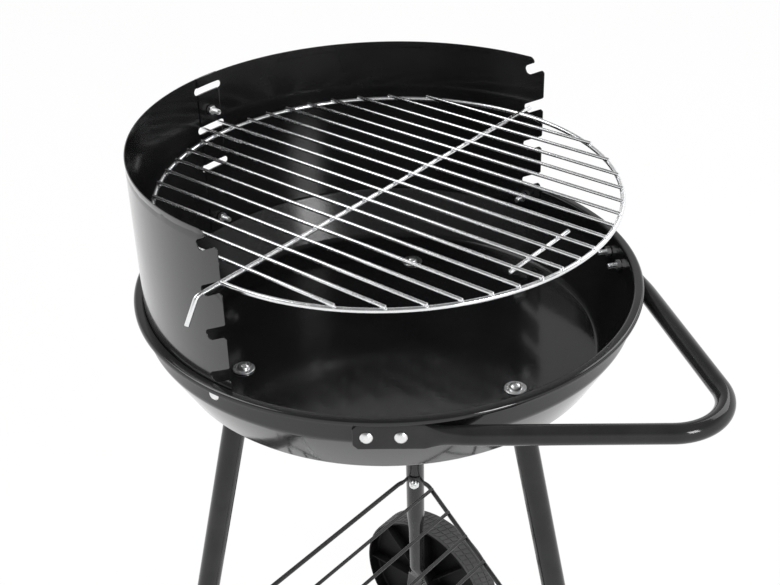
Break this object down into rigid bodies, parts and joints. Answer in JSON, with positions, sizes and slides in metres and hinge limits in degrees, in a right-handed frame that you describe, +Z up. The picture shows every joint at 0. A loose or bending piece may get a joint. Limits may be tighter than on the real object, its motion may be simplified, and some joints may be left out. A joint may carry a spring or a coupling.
{
  "type": "charcoal grill",
  "caption": "Round charcoal grill on tube legs and wheels, with a half-round slotted windshield, a lift-off chromed grate, a tube handle and a wire shelf.",
  "frame": {"origin": "on the floor, under the middle of the whole grill's outline", "axes": "+Z up, +X from the wheels' side towards the handle, +Y along the axle"},
  "size_m": [0.5644, 0.5396, 0.848],
  "materials": {
    "enamel_black": "glossy black enamel",
    "tube_black": "half-gloss black powder coat",
    "wire_black": "satin black powder coat",
    "chrome": "bright chrome plate",
    "zinc": "bright zinc plate",
    "wheel_plastic": "moulded black plastic",
    "cap_plastic": "moulded black plastic"
  },
  "bodies": {
    "frame": {"bowl": "enamel_black", "windshield_rear": "enamel_black", "windshield_front": "enamel_black", "windshield_bolts": "zinc", "windshield_nuts": "zinc", "handle": "tube_black", "handle_bolts": "zinc", "handle_nuts": "zinc", "leg_front": "tube_black", "leg_rear_right": "tube_black", "leg_rear_left": "tube_black", "leg_plugs": "zinc", "leg_bolts": "zinc", "leg_washers": "zinc", "foot_cap": "cap_plastic", "shelf": "wire_black", "shelf_bolts": "zinc", "shelf_nuts": "zinc", "axle": "zinc", "axle_washers": "zinc", "axle_caps": "cap_plastic"},
    "wheel_right": {"wheel_right": "wheel_plastic"},
    "wheel_left": {"wheel_left": "wheel_plastic"},
    "grate": {"cooking_grate": "chrome"}
  },
  "joints": [
    {"name": "wheel_right_spin", "type": "hinge", "parent": "frame", "child": "wheel_right", "pos_m": [-0.18923, 0.2435, 0.093], "axis": [0, 1, 0], "continuous": true},
    {"name": "wheel_left_spin", "type": "hinge", "parent": "frame", "child": "wheel_left", "pos_m": [-0.18923, -0.2435, 0.093], "axis": [0, 1, 0], "continuous": true},
    {"name": "grate_lift", "type": "slide", "parent": "frame", "child": "grate", "axis": [0.8829, 0, 0.4695], "range_m": [0, 0.45]}
  ]
}
